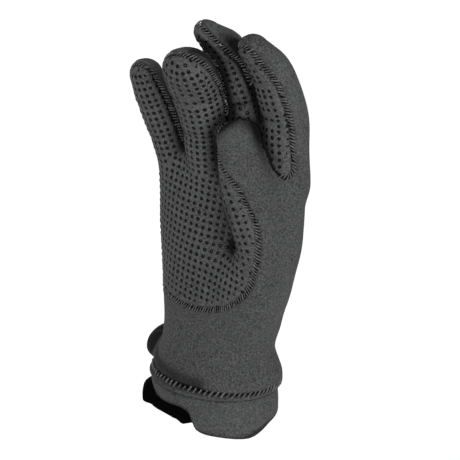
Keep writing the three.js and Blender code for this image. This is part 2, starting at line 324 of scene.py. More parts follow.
THUMB = Digit("thumb", (41, -10, 90), 3.8, 9, -120, (42, 38, 26), (18, 10),
              ((0, 10.5, 12), (0.4, 14, 13), (0.65, 17.5, 13), (0.85, 16.5, 12), (1, 12.8, 9.5)),
              (SeamSpan(0, -150, 60), SeamSpan(0.4, -150, 45), SeamSpan(0.6, -150, 28),
               SeamSpan(0.75, -150, 6), SeamSpan(1, -175, -60)),
              seam_from=(28.0, 62.0))
FINGERS = (LITTLE, RING, MIDDLE, INDEX)


@dataclass(frozen=True)
class Blob:
    """A rounded mass added to the hand."""

    centre: tuple[float, float, float]
    radii: tuple[float, float, float]
    blend: float

    def sample(self, points: Array) -> Array:
        """Measure the way to the blob.

        Args:
            points: places in the part's frame.

        Returns:
            Signed distance, roughly.
        """
        away = points - np.array(self.centre)
        q = np.linalg.norm(away / np.array(self.radii), axis=-1) + 1e-9
        return np.linalg.norm(away, axis=-1) * (1 - 1 / q)


THENAR = Blob((33, -15, 100), (16, 13, 32), 10)
WRIST_FOLD = Blob((-36, 9, 38.5), (20.4, 20, 15), 3)


@dataclass(frozen=True)
class Dent:
    """A hollow or crease pressed into the palm side, along a line seen from the front, with painted
    shade along it.
    """

    line: tuple[tuple[float, float], ...]
    depth: float
    width: float
    # Painted shade that darkens the cloth along the dent.
    shade: float

    def sample(self, points: Array) -> Array:
        """Measure how strongly the dent presses.

        Args:
            points: places in the part's frame.

        Returns:
            0 away from the dent, up to 1 along its line.
        """
        flat = points[..., [0, 2]]
        gap = np.min([segment_distance(flat, np.array(a), np.array(b))
                      for a, b in zip(self.line, self.line[1:])], axis=0)
        return bell(gap, self.width) * ramp(-points[..., 1] / 10)


def segment_distance(points: Array, start: Array, end: Array) -> Array:
    """Measure the way to a stretch of line.

    Args:
        points: flat places.
        start: one end of the stretch.
        end: its other end.

    Returns:
        Distance of each place.
    """
    way = end - start
    t = np.clip(((points - start) @ way) / (way @ way), 0, 1)
    return np.linalg.norm(points - start - t[..., None] * way, axis=-1)


PALM_DENTS = (
    Dent(((13, 150), (18, 125)), 3.5, 17, 0.02),
    Dent(((30, 158), (31, 147), (28, 136), (23.7, 127)), 5.5, 3.4, 0.3),
    Dent(((24, 148), (20, 130)), 5.0, 9, 0.14),
    Dent(((24, 127), (31, 129), (38, 136)), 1.2, 1.7, 0.15),
    Dent(((24, 123.5), (33, 123.5), (40, 129)), 1.0, 1.7, 0.12),
    Dent(((-34, 41), (-18, 39.5), (-5, 38.5), (8, 38)), 1.8, 5, 0.42),
)
PALM_OUTLINE = (
    (-90, 91), (-26, 91), (-13, 87), (7, 86), (24, 90.5), (36, 99), (43, 108), (47, 122),
    (46, 137), (43, 150), (43, 163), (48, 171), (55, 178), (60, 186), (60, 193), (-90, 193),
)
PALM_DEPTH_Y = 2.0
WALL = 3.0
CUFF_SEAM_Z = 34.0
CUFF_GAP = 0.3
FAR_FROM_SEAM = 20.0
THUMB_BLEND = 8.0
FINGER_BLEND = 6.0
SEAM_HANDOVER = 3.0
SEAM_DRAW, SEAM_DRAW_WIDTH = 1.3, 1.35
SEAM_RIDGE, SEAM_RIDGE_AT, SEAM_RIDGE_WIDTH = 0.45, 3.3, 1.5
FOLD_BACK_BLEND, FOLD_BACK_Y = 13.0, (2.0, 14.0)
GRID_LOW, GRID_HIGH = (-58.0, -68.0, 26.0), (76.0, 52.0, 270.0)
THUMB_BACK = math.radians(165)
THUMB_TOUCH, HAND_TOUCH, THUMB_FREE_FROM = 5.0, 4.0, 40.0

# Painted shade in the cloth's colour, from 0 to 1: how much each reach of open space counts, and
# what is added by place.
# A fade is an axis, the place along it where shade begins and the place where it is full.
PAINTED_SHADE_REACHES = ((2.5, 0.25), (6.0, 0.35), (12.0, 0.25), (22.0, 0.15))
SEAM_SHADE, SEAM_SHADE_WIDTH = 0.5, 1.3
FOLD_SHADE, FOLD_PROUD = 0.6, 3.0
FOLD_FADES = ((2, 24, 34), (1, 5, -3))
BESIDE_FOLD_FADES = ((0, 0, -10), (1, -2, 1), (1, 12, 4), (2, 35, 40), (2, 57, 54))
RING_SHADE, RING_SHADE_AZIMUTH, RING_SHADE_SPREAD = 0.5, 128.0, 28.0
RING_SHADE_SHARE, RING_SHADE_DEPTH = (0.25, 0.4), 1.5


def rounded_outline(corners: Sequence[tuple[float, float]], passes: int = 2) -> Array:
    """Cut the corners of a closed outline again and again.

    Args:
        corners: the outline's corners in turn.
        passes: how often they are cut.

    Returns:
        The smoother outline.
    """
    loop = np.array(corners, float)
    for _ in range(passes):
        following = np.roll(loop, -1, axis=0)
        loop = np.stack([0.75 * loop + 0.25 * following, 0.25 * loop + 0.75 * following], 1)
        loop = loop.reshape(-1, 2)
    return loop


def outline_distance(points: Array, loop: Array) -> Array:
    """Measure the way to a closed outline.

    Args:
        points: flat places.
        loop: the outline's corners in turn.

    Returns:
        Signed distance of each place, negative inside.
    """
    gap = np.full(points.shape[:-1], 1e9)
    inside = np.zeros(points.shape[:-1], bool)
    for start, end in zip(loop, np.roll(loop, -1, axis=0)):
        gap = np.minimum(gap, segment_distance(points, start, end))
        spans = (start[1] > points[..., 1]) != (end[1] > points[..., 1])
        rise = end[1] - start[1]
        cross = start[0] + (points[..., 1] - start[1]) * (end[0] - start[0]) / (rise or 1e-9)
        inside ^= spans & (points[..., 0] < cross)
    return np.where(inside, -gap, gap)


class HandField:
    """The glove's skin and its palm seam as signed distances, in millimetres."""

    def __init__(self) -> None:
        """Prepare the palm panel's outline."""
        self.outline = rounded_outline(PALM_OUTLINE)

    @staticmethod
    def section(points: Array) -> Array:
        """Measure the plain hand, without its digits, folds and hollows.

        Args:
            points: places in the part's frame.

        Returns:
            Signed distance of each place.
        """
        cx, cy, a, b, n = np.moveaxis(HAND_TABLE.at(points[..., 2]), -1, 0)
        x, y = points[..., 0] - cx, points[..., 1] - cy
        above = np.maximum(points[..., 2] - HAND_ROWS[-1].z, 0)
        q = ((np.abs(x) / a) ** n + (np.abs(y) / b) ** n) ** (1 / n)
        q = np.sqrt(q**2 + (above / HAND_CAP) ** 2) + 1e-9
        return np.sqrt(x * x + y * y + above * above) * (1 - 1 / q)

    def trunk(self, points: Array) -> Array:
        """Measure the hand without its digits.

        Args:
            points: places in the part's frame.

        Returns:
            Signed distance of each place.
        """
        skin = self.section(points)
        skin = soft_min(skin, THENAR.sample(points), THENAR.blend)
        blend = WRIST_FOLD.blend + FOLD_BACK_BLEND * rise(points[..., 1], *FOLD_BACK_Y)
        skin = soft_min(skin, WRIST_FOLD.sample(points), blend)
        for dent in PALM_DENTS:
            skin = skin + dent.depth * dent.sample(points)
        return skin

    def sample(self, points: Array) -> tuple[Array, Array]:
        """Distances to the skin and to the palm panel's edge.

        Args:
            points: places in the part's frame, one to a row.

        Returns:
            Two signed distances: negative inside the skin, negative on the palm panel.
        """
        trunk = self.trunk(points)
        outline = outline_distance(points[:, [0, 2]], self.outline)
        edge = np.maximum(points[:, 1] - PALM_DEPTH_Y, outline)
        skin = trunk
        for digit in (THUMB, *FINGERS):
            blend = THUMB_BLEND if digit is THUMB else FINGER_BLEND
            near = np.all((points > digit.low) & (points < digit.high), axis=1)
            digit_skin, digit_edge, grip = digit.sample(points[near])
            owns = rise(skin[near] - digit_skin, -SEAM_HANDOVER, SEAM_HANDOVER) * grip
            edge[near] = edge[near] * (1 - owns) + digit_edge * owns
            skin[near] = np.minimum(skin[near], soft_min(trunk[near], digit_skin, blend))
            trunk = trunk if digit is not THUMB else skin.copy()
        x, y, z = points.T
        slow_ripple = 0.22 * np.sin(x / 8 + 1.3) * np.sin(z / 10 + y / 13)
        quick_ripple = 0.14 * np.sin(z / 4.6 + x / 6 + y / 9)
        return skin + (slow_ripple + quick_ripple), edge

    @staticmethod
    def seam_relief(edge: Array) -> Array:
        """How far the sewn seam draws the skin in, between two soft ridges."""
        ridges = SEAM_RIDGE * bell(np.abs(edge) - SEAM_RIDGE_AT, SEAM_RIDGE_WIDTH)
        return SEAM_DRAW * bell(edge, SEAM_DRAW_WIDTH) - ridges

    def skin(self, points: Array) -> Array:
        """Signed distance to the skin alone, negative inside."""
        return self.sample(points)[0]

    def painted_shade(self, points: Array, outward: Array) -> Array:
        """Painted shade for the cloth's colour: where other folds stand close over it, plus shade
        added by place.

        Args:
            points: places on the cloth.
            outward: directions the cloth faces there.

        Returns:
            0 in the open, up to 1 deep between folds.
        """
        total = np.zeros(len(points))
        for reach, weight in PAINTED_SHADE_REACHES:
            total += weight * np.clip(1 - self.skin(points + outward * reach) / reach, 0, 1)
        # Painted shade along the palm dents.
        for dent in PALM_DENTS:
            total += dent.shade * dent.sample(points)
        # Painted shade on the ring finger's side.
        total += self.ring_side_shade(points)
        # Painted shade along the cuff seam.
        total += SEAM_SHADE * bell(points[:, 2] - CUFF_SEAM_Z, SEAM_SHADE_WIDTH)
        # Painted shadow on the front of the wrist fold and on the cloth beside it.
        fold = rise(self.section(points) - WRIST_FOLD.sample(points), 0, FOLD_PROUD)
        proud = fold * self.faded(points, FOLD_FADES)
        beside = self.faded(points, BESIDE_FOLD_FADES)
        return np.maximum(total, FOLD_SHADE * np.maximum(proud, beside))

    @staticmethod
    def faded(points: Array, fades: Sequence[tuple[int, float, float]]) -> Array:
        """Fade in over several stretches of the axes.

        Args:
            points: places on the cloth.
            fades: an axis, where it is 0 and where it is 1, for each stretch.

        Returns:
            The product of all fades at each place.
        """
        return np.prod([rise(points[:, axis], start, end) for axis, start, end in fades], axis=0)

    @staticmethod
    def ring_side_shade(points: Array) -> Array:
        """Paint shade on the ring finger's side that lies against the middle finger.

        Args:
            points: places on the cloth.

        Returns:
            The extra painted shade at each place.
        """
        share, offset, _, sideways = RING.local(points)
        _, facing = RING.directions(share)
        away = facing * offset[:, None] + RING.side * sideways[:, None]
        azimuth = np.degrees(np.arctan2(away[:, 0], -away[:, 1]))
        close = np.abs(RING.sample(points)[0]) < RING_SHADE_DEPTH
        turned = bell(azimuth - RING_SHADE_AZIMUTH, RING_SHADE_SPREAD)
        return RING_SHADE * close * turned * rise(share, *RING_SHADE_SHARE)

    def sewn(self, points: Array) -> Array:
        """Tell a seam from the line where the thumb lies against the hand.

        Args:
            points: places on the palm panel's edge.

        Returns:
            True where the panels are sewn together.
        """
        share, offset, _, sideways = THUMB.local(points)
        _, facing = THUMB.directions(share)
        away = facing * offset[:, None] + THUMB.side * sideways[:, None]
        behind = away @ np.array([math.sin(THUMB_BACK), -math.cos(THUMB_BACK), 0.0]) > 0
        others = [self.trunk(points), *(digit.sample(points)[0] for digit in FINGERS)]
        touching = (THUMB.sample(points)[0] < THUMB_TOUCH) & (np.min(others, axis=0) < HAND_TOUCH)
        return ~(touching & behind & (share * THUMB.length > THUMB_FREE_FROM))

    def slope(self, points: Array, step: float = 0.4) -> Array:
        """Outward directions of the skin at points."""
        shifts = np.eye(3) * step
        return unit(np.stack([self.skin(points + s) - self.skin(points - s) for s in shifts], -1))

    def settle(self, points: Array, rounds: int = 3) -> tuple[Array, Array]:
        """Move points onto the skin.

        Args:
            points: places close to the skin.
            rounds: how often each point is moved.

        Returns:
            The settled points and the outward directions there.
        """
        for _ in range(rounds):
            points = points - self.slope(points) * np.clip(self.skin(points), -3, 3)[:, None]
        return points, self.slope(points)


# Surfaces from fields

@dataclass
class Grid:
    """A block of samples, fine only near the cloth."""

    low: Array
    pitch: float
    skin: Array
    edge: Array
    height: Array


def sample_hand(hand: HandField, pitch: float, wall: float, coarse: int = 4) -> Grid:
    """Sample the hand on a grid.

    Args:
        hand: the field to sample.
        pitch: grid step.
        wall: depth below the skin that is still sampled finely.
        coarse: how many steps apart the first samples are.

    Returns:
        The grid of samples.
    """
    low, high = np.array(GRID_LOW), np.array(GRID_HIGH)
    big = pitch * coarse
    count = np.ceil((high - low) / big).astype(int) + 1
    axes = [low[i] + big * np.arange(count[i]) for i in range(3)]
    places = np.stack(np.meshgrid(*axes, indexing="ij"), -1).reshape(-1, 3)
    skin, edge = (values.reshape(count) for values in hand.sample(places))
    fine = (count - 1) * coarse + 1
    for axis in range(3):
        spot = np.arange(fine[axis]) / coarse
        start = np.minimum(spot.astype(int), count[axis] - 2)
        t = (spot - start).reshape([-1 if i == axis else 1 for i in range(3)])
        skin = np.take(skin, start, axis) * (1 - t) + np.take(skin, start + 1, axis) * t
        edge = np.take(edge, start, axis) * (1 - t) + np.take(edge, start + 1, axis) * t
    near = np.argwhere(np.abs(skin + wall / 2) < wall / 2 + 0.9 * big)
    exact = hand.sample(near * pitch + low)
    skin[tuple(near.T)], edge[tuple(near.T)] = exact
    height = low[2] + pitch * np.arange(fine[2])
    return Grid(low, pitch, skin, edge, height)


def surface_net(values: Array, low: Array, pitch: float) -> tuple[Array, Array]:
    """The zero surface of a grid of values, negative inside, as quads.

    Args:
        values: samples on a block of grid points.
        low: place of the first grid point.
        pitch: grid step.

    Returns:
        Vertex places, and quads that point outwards.
    """
    inside = values < 0
    shape = np.array(values.shape) - 1
    count = np.zeros(shape, np.int8)
    corners = [(i, j, k) for i in (0, 1) for j in (0, 1) for k in (0, 1)]
    for i, j, k in corners:
        count += inside[i:shape[0] + i, j:shape[1] + j, k:shape[2] + k]
    active = (count > 0) & (count < 8)
    cells = np.argwhere(active)
    number = np.full(active.shape, -1, np.int64)
    number[active] = np.arange(len(cells))
    total, hits = np.zeros((len(cells), 3)), np.zeros(len(cells))
    for axis in range(3):
        for start in (corner for corner in corners if corner[axis] == 0):
            end = tuple(1 if i == axis else start[i] for i in range(3))
            at_start = values[tuple((cells + start).T)]
            at_end = values[tuple((cells + end).T)]
            crossed = (at_start < 0) != (at_end < 0)
            t = np.where(crossed, at_start / np.where(crossed, at_start - at_end, 1), 0)
            place = np.tile(np.array(start, float), (len(cells), 1))
            place[:, axis] += t
            total[crossed] += place[crossed]
            hits[crossed] += 1
    vertices = (cells + total / hits[:, None]) * pitch + low
    quads = []
    for axis in range(3):
        u, v = (i for i in range(3) if i != axis)
        first = tuple(slice(0, -1) if i == axis else slice(None) for i in range(3))
        second = tuple(slice(1, None) if i == axis else slice(None) for i in range(3))
        cross = np.argwhere(inside[first] != inside[second])
        whole = ((cross[:, u] > 0) & (cross[:, v] > 0)
                 & (cross[:, u] < shape[u]) & (cross[:, v] < shape[v]))
        cross = cross[whole]
        turns = []
        for back_u, back_v in ((1, 1), (0, 1), (0, 0), (1, 0)):
            cell = cross.copy()
            cell[:, u] -= back_u
            cell[:, v] -= back_v
            turns.append(number[tuple(cell.T)])
        quad = np.stack(turns, 1)
        outward = inside[tuple(cross.T)]
        flip = outward if axis == 1 else ~outward
        quad[flip] = quad[flip][:, ::-1]
        quads.append(quad)
    return vertices, np.concatenate(quads)


def main_part(vertices: Array, quads: Array) -> tuple[Array, Array]:
    """Keep the largest connected part of a mesh.

    Args:
        vertices: vertex places.
        quads: vertex numbers of each face.

    Returns:
        The vertices and quads of that part.
    """
    label = np.arange(len(vertices))
    while True:
        lowest = label[quads].min(1)
        fresh = label.copy()
        for i in range(4):
            np.minimum.at(fresh, quads[:, i], lowest)
        fresh = fresh[fresh]
        if np.array_equal(fresh, label):
            break
        label = fresh
    names, sizes = np.unique(label[quads[:, 0]], return_counts=True)
    keep = label == names[sizes.argmax()]
    fresh_number = np.cumsum(keep) - 1
    return vertices[keep], fresh_number[quads[keep[quads[:, 0]]]]


# Objects

def new_object(name: str, vertices: Array, faces: Sequence[Sequence[int]] | Array,
               attributes: dict[str, Array] | None = None) -> bpy.types.Object:
    """Make a smooth mesh object from millimetre vertices.

    Args:
        name: the object's name.
        vertices: vertex places in millimetres.
        faces: vertex numbers of each face.
        attributes: numbers or vectors kept on the vertices, by name.

    Returns:
        The object, linked to the scene.
    """
    mesh = bpy.data.meshes.new(name)
    mesh.from_pydata((np.asarray(vertices) * MM).tolist(), [], np.asarray(faces).tolist())
    for key, values in (attributes or {}).items():
        add_attribute(mesh, key, values)
    mesh.update()
    mesh.polygons.foreach_set("use_smooth", [True] * len(mesh.polygons))
    piece = bpy.data.objects.new(name, mesh)
    bpy.context.scene.collection.objects.link(piece)
    return piece


def add_attribute(mesh: bpy.types.Mesh, name: str, values: Array) -> None:
    """Keep a number or a vector on each vertex.

    Args:
        mesh: the mesh.
        name: what the attribute is called.
        values: one number or vector for each vertex.
    """
    vector = values.ndim == 2
    layer = mesh.attributes.new(name, "FLOAT_VECTOR" if vector else "FLOAT", "POINT")
    layer.data.foreach_set("vector" if vector else "value", values.astype(np.float32).ravel())


def dress(piece: bpy.types.Object, finish: bpy.types.Material) -> None:
    """Give a piece its only material and its body.

    Args:
        piece: the object.
        finish: its material.
    """
    piece.data.materials.clear()
    piece.data.materials.append(finish)
    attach(piece, BODY)


# Shader graphs

def feed(tree: bpy.types.NodeTree, socket: bpy.types.NodeSocket, value: Any) -> None:
    """Link a socket to a value's source, or set it to a plain value.

    Args:
        tree: the node tree that holds the socket.
        socket: the input to fill.
        value: a Value, a socket or a plain value.
    """
    source = value.socket if isinstance(value, Value) else value
    if isinstance(source, bpy.types.NodeSocket):
        tree.links.new(source, socket)
    else:
        socket.default_value = source


def add_node(tree: bpy.types.NodeTree, kind: str, settings: dict[str, Any] | None = None,
             inputs: dict[int | str, Any] | None = None) -> bpy.types.Node:
    """Add a node to a tree.

    Args:
        tree: the tree to add it to.
        kind: the node's type.
        settings: its properties, set before its sockets.
        inputs: values or links of its sockets, by name or number.

    Returns:
        The node.
    """
    node = tree.nodes.new(kind)
    for key, value in (settings or {}).items():
        setattr(node, key, value)
    for key, value in (inputs or {}).items():
        feed(tree, node.inputs[key], value)
    return node


class Value:
    """A number in a shader, on which Python's operators add Math nodes."""

    def __init__(self, graph: "Graph", socket: bpy.types.NodeSocket) -> None:
        """Wrap a socket of a graph."""
        self.graph = graph
        self.socket = socket

    def maths(self, operation: str, *operands: "Value | float") -> "Value":
        """Add a Math node.

        Args:
            operation: what the node does.
            operands: its inputs in order.

        Returns:
            The node's result.
        """
        inputs = {i: operand for i, operand in enumerate(operands)}
        node = self.graph.node("ShaderNodeMath", {"operation": operation}, inputs)
        return Value(self.graph, node.outputs[0])

    def __add__(self, other: "Value | float") -> "Value":
        """Sum."""
        return self.maths("ADD", self, other)

    def __sub__(self, other: "Value | float") -> "Value":
        """Difference."""
        return self.maths("SUBTRACT", self, other)

    def __rsub__(self, other: "Value | float") -> "Value":
        """Difference from a number."""
        return self.maths("SUBTRACT", other, self)

    def __mul__(self, other: "Value | float") -> "Value":
        """Product."""
        return self.maths("MULTIPLY", self, other)

    __radd__ = __add__
    __rmul__ = __mul__

    def sine(self) -> "Value":
        """Sine."""
        return self.maths("SINE", self)

    def spread(self, low: float, high: float) -> "Value":
        """Map low to 0 and high to 1, clamped.

        Args:
            low: what becomes 0.
            high: what becomes 1.

        Returns:
            The mapped number.
        """
        node = self.graph.node("ShaderNodeMapRange", {"clamp": True},
                               {"Value": self, "From Min": low, "From Max": high})
        return Value(self.graph, node.outputs[0])


class Graph:
    """The node tree of one material."""

    def __init__(self, name: str) -> None:
        """Make a material with a Principled shader.

        Args:
            name: the material's name.
        """
        self.material = bpy.data.materials.new(name)
        self.material.use_nodes = True
        self.tree = self.material.node_tree
        self.tree.nodes.clear()
        self.shader = self.node("ShaderNodeBsdfPrincipled")
        self.node("ShaderNodeOutputMaterial", inputs={"Surface": self.shader.outputs[0]})

    def node(self, kind: str, settings: dict[str, Any] | None = None,
             inputs: dict[int | str, Any] | None = None) -> bpy.types.Node:
        """Add a node, as add_node does."""
        return add_node(self.tree, kind, settings, inputs)

    def place(self) -> bpy.types.NodeSocket:
        """The object's own coordinates."""
        return self.node("ShaderNodeTexCoord").outputs["Object"]

    def axis(self, name: str) -> Value:
        """Read one of the object's coordinates.

        Args:
            name: X, Y or Z.

        Returns:
            The coordinate in metres.
        """
        split = self.node("ShaderNodeSeparateXYZ", inputs={"Vector": self.place()})
        return Value(self, split.outputs[name])

    def noise(self, scale: float, detail: float = 3) -> Value:
        """Make noise.

        Args:
            scale: cycles to the metre.
            detail: how many finer layers it has.

        Returns:
            The noise, around 0.5.
        """
        inputs = {"Vector": self.place(), "Scale": scale, "Detail": detail}
        return Value(self, self.node("ShaderNodeTexNoise", inputs=inputs).outputs[0])

    def attribute(self, name: str) -> Value:
        """Read a number kept on the mesh.

        Args:
            name: the attribute's name.

        Returns:
            The number.
        """
        node = self.node("ShaderNodeAttribute", {"attribute_name": name})
        return Value(self, node.outputs["Fac"])

    def mix(self, share: Value, low: Any, high: Any) -> bpy.types.NodeSocket:
        """Mix two colours.

        Args:
            share: 0 for the first, 1 for the second.
            low: the first colour.
            high: the second colour.

        Returns:
            The colour between them.
        """
        node = self.node("ShaderNodeMix", {"data_type": "RGBA"})
        for key, value in ((0, share), (6, low), (7, high)):
            feed(self.tree, node.inputs[key], value)
        return node.outputs[2]

    def bump(self, height: Value, depth: float) -> bpy.types.NodeSocket:
        """Turn a height into a normal.

        Args:
            height: a number from about 0 to 1.
            depth: what that swing is in metres.

        Returns:
            The normal.
        """
        inputs = {"Height": height, "Distance": depth, "Strength": 1.0}
        return self.node("ShaderNodeBump", inputs=inputs).outputs[0]

    def finish(self, sockets: dict[str, Any]) -> bpy.types.Material:
        """Set the Principled shader's sockets.

        Args:
            sockets: values or links by the socket's name.

        Returns:
            The finished material.
        """
        for key, value in sockets.items():
            feed(self.tree, self.shader.inputs[key], value)
        return self.material


def grey(level: float, warmth: float = 0.0) -> tuple[float, float, float, float]:
    """A linear grey, a little warm or cool."""
    return (level * (1 + warmth), level, level * (1 - warmth), 1.0)


def wave(phase: Value) -> Value:
    """A sine that runs from 0 to 1."""
    return phase.sine() * 0.5 + 0.5


@dataclass(frozen=True)
class ClothFinish:
    """A fine knitted face: its grey, its grain and how deep that is."""

    name: str
    level: float
    contrast: float
    knit: float = 1500.0
    grain_depth: float = 0.00012
    roughness: float = 0.82
    sheen: float = 0.02
    specular: float = 0.03
    patch_scale: float = 28
    fleck_scale: float = 900
    fleck_contrast: float = 2.6
    swing: float = 0.55
    coolness: float = -0.01
    seam_level: float = 0.72
    painted_shade_range: tuple[float, float] = (0.03, 0.6)
    painted_shade_strength: float = 0.9

    def build(self) -> bpy.types.Material:
        """Make the material.

        Returns:
            The knitted cloth, with painted shade in folds and along seams.
        """
        graph = Graph(self.name)
        patches = graph.noise(self.patch_scale, 2)
        flecks = graph.noise(self.fleck_scale, 4)
        x, y, z = (graph.axis(axis) for axis in "XYZ")
        wales = wave((x + y * 0.6) * self.knit)
        courses = wave(z * self.knit * 1.3)
        grain = wales * 0.3 + courses * 0.25 + flecks * 0.6
        seam = graph.attribute("seam_gap")
        shade = (patches - 0.5) * self.contrast + (flecks - 0.5) * self.fleck_contrast + 0.5
        # Painted shade: the cloth darkens towards the panel seams.
        shade = shade * (self.seam_level + seam.spread(0.2, 2.2) * (1 - self.seam_level))
        dark = grey(self.level * (1 - self.swing), self.coolness)
        pale = grey(self.level * (1 + self.swing), self.coolness)
        cloth = graph.mix(shade.spread(0.0, 1.0), dark, pale)
        # Painted shade: the mesh's shade attribute darkens the cloth towards near-black in folds
        # and creases.
        painted_darkening = graph.attribute("painted_shade").spread(*self.painted_shade_range) * self.painted_shade_strength
        colour = graph.mix(painted_darkening, cloth, grey(self.level * 0.05))
        return graph.finish({
            "Base Color": colour,
            "Roughness": 1 - (1 - self.roughness) * (0.7 + patches * 0.6),
            "Sheen Weight": self.sheen,
            "Sheen Roughness": 0.5,
            "Specular IOR Level": self.specular,
            "Normal": graph.bump(grain, self.grain_depth),
        })


@dataclass(frozen=True)
class RubberFinish:
    """Glossy black rubber of the grip dots."""

    name: str = "grip_dot_rubber"
    level: float = 0.0015
    roughness: float = 0.16

    def build(self) -> bpy.types.Material:
        """Make the material.

        Returns:
            The dots' rubber.
        """
        graph = Graph(self.name)
        scuffs = graph.noise(1400, 3)
        dust = graph.noise(60, 2)
        colour = graph.mix(dust.spread(0.35, 0.75), grey(self.level * 0.7),
                           grey(self.level * 1.8))
        return graph.finish({
            "Base Color": colour,
            "Roughness": self.roughness + scuffs * 0.12,
            "Specular IOR Level": 0.1,
            "Normal": graph.bump(scuffs, 0.00003),
        })


@dataclass(frozen=True)
class ThreadFinish:
    """Twisted sewing thread."""

    name: str = "seam_thread"
    level: float = 0.055
    roughness: float = 0.75
    twists: float = 9000.0

    def build(self) -> bpy.types.Material:
        """Make the material.

        Returns:
            The seams' thread.
        """
        graph = Graph(self.name)
        wear = graph.noise(500, 3)
        x, y, z = (graph.axis(axis) for axis in "XYZ")
        twist = wave((x - y + z) * self.twists)
        colour = graph.mix(wear.spread(0.35, 0.65), grey(self.level * 0.3),
                           grey(self.level * 1.7))
        return graph.finish({
            "Base Color": colour,
            "Roughness": self.roughness + wear * 0.2,
            "Sheen Weight": 0.1,
            "Normal": graph.bump(twist, 0.00006),
        })


class Finish(Enum):
    """The glove's finishes."""

    SMOOTH = ClothFinish("smooth_knit", 0.046, 0.5)
    GRIP = ClothFinish("grip_knit", 0.054, 0.5)
    LINING = ClothFinish("black_jersey", 0.001, 0.4, grain_depth=0.00008, sheen=0.0,
                         specular=0.02)
    RUBBER = RubberFinish()
    THREAD = ThreadFinish()


# Geometry nodes

class Repeater:
    """A geometry node tree that sets one small shape on each point of a mesh."""

    def __init__(self, name: str) -> None:
        """Start a tree with a geometry input and output.

        Args:
            name: the tree's name.
        """
        self.tree = bpy.data.node_groups.new(name, "GeometryNodeTree")
        face = self.tree.interface
        face.new_socket("Geometry", in_out="INPUT", socket_type="NodeSocketGeometry")
        face.new_socket("Geometry", in_out="OUTPUT", socket_type="NodeSocketGeometry")
        self.source = self.tree.nodes.new("NodeGroupInput")
        self.result = self.tree.nodes.new("NodeGroupOutput")

    def size(self, name: str, value: float) -> None:
        """Add a number input with a first value in metres."""
        socket = self.tree.interface.new_socket(name, in_out="INPUT", socket_type="NodeSocketFloat")
        socket.default_value = value

    def material(self, name: str) -> None:
        """Add a material input."""
        self.tree.interface.new_socket(name, in_out="INPUT", socket_type="NodeSocketMaterial")

    def input(self, name: str) -> bpy.types.NodeSocket:
        """The socket of a named input, inside the tree."""
        return self.source.outputs[name]

    def node(self, kind: str, settings: dict[str, Any] | None = None,
             inputs: dict[int | str, Any] | None = None) -> bpy.types.Node:
        """Add a node, as add_node does."""
        return add_node(self.tree, kind, settings, inputs)

    def times(self, name: str, factor: float) -> bpy.types.NodeSocket:
        """Multiply a named input.

        Args:
            name: the input's name.
            factor: what it is multiplied by.

        Returns:
            The product.
        """
        inputs = {0: self.input(name), 1: factor}
        return self.node("ShaderNodeMath", {"operation": "MULTIPLY"}, inputs).outputs[0]

    def named_vector(self, name: str) -> bpy.types.NodeSocket:
        """Read a vector kept on the points.

        Args:
            name: the attribute's name.

        Returns:
            The vector.
        """
        node = self.node("GeometryNodeInputNamedAttribute", {"data_type": "FLOAT_VECTOR"},
                         {"Name": name})
        return node.outputs["Attribute"]

    def scatter(self, shape: bpy.types.NodeSocket, material: str, seed: int, jitter: float) -> None:
        """Put the shape on every point, upright along 'up' and turned along 'ahead'.

        Args:
            shape: the geometry to repeat.
            material: name of the material input.
            seed: fixed seed of the small differences in size.
            jitter: how far sizes differ, as a share.
        """
        axes = {"Primary Axis": self.named_vector("up"),
                "Secondary Axis": self.named_vector("ahead")}
        turn = self.node("FunctionNodeAxesToRotation",
                         {"primary_axis": "Z", "secondary_axis": "X"}, axes)
        size = self.node("FunctionNodeRandomValue", {"data_type": "FLOAT"},
                         {"Seed": seed, 2: 1 - jitter, 3: 1 + jitter})
        points = self.node("GeometryNodeInstanceOnPoints", None, {
            "Points": self.input("Geometry"), "Instance": shape,
            "Rotation": turn.outputs[0], "Scale": size.outputs[1]})
        real = self.node("GeometryNodeRealizeInstances", None, {"Geometry": points.outputs[0]})
        done = self.node("GeometryNodeSetMaterial", None, {
            "Geometry": real.outputs[0], "Material": self.input(material)})
        self.tree.links.new(done.outputs[0], self.result.inputs[0])

    def make(self, carrier: bpy.types.Object, name: str,
             values: dict[str, Any]) -> bpy.types.Object:
        """Run the tree on a carrier and turn the result into a plain mesh.

        Args:
            carrier: object whose points carry the shapes. It is removed.
            name: name of the result.
            values: values of the named inputs.

        Returns:
            The finished object.
        """
        modifier = carrier.modifiers.new("repeat", "NODES")
        modifier.node_group = self.tree
        sockets = {item.name: item.identifier for item in self.tree.interface.items_tree
                   if item.in_out == "INPUT"}
        for key, value in values.items():
            modifier[sockets[key]] = value
        evaluated = carrier.evaluated_get(bpy.context.evaluated_depsgraph_get())
        mesh = bpy.data.meshes.new_from_object(evaluated)
        bpy.data.objects.remove(carrier)
        mesh.name = name
        piece = bpy.data.objects.new(name, mesh)
        bpy.context.scene.collection.objects.link(piece)
        mesh.polygons.foreach_set("use_smooth", [True] * len(mesh.polygons))
        return piece


# Sub-assemblies

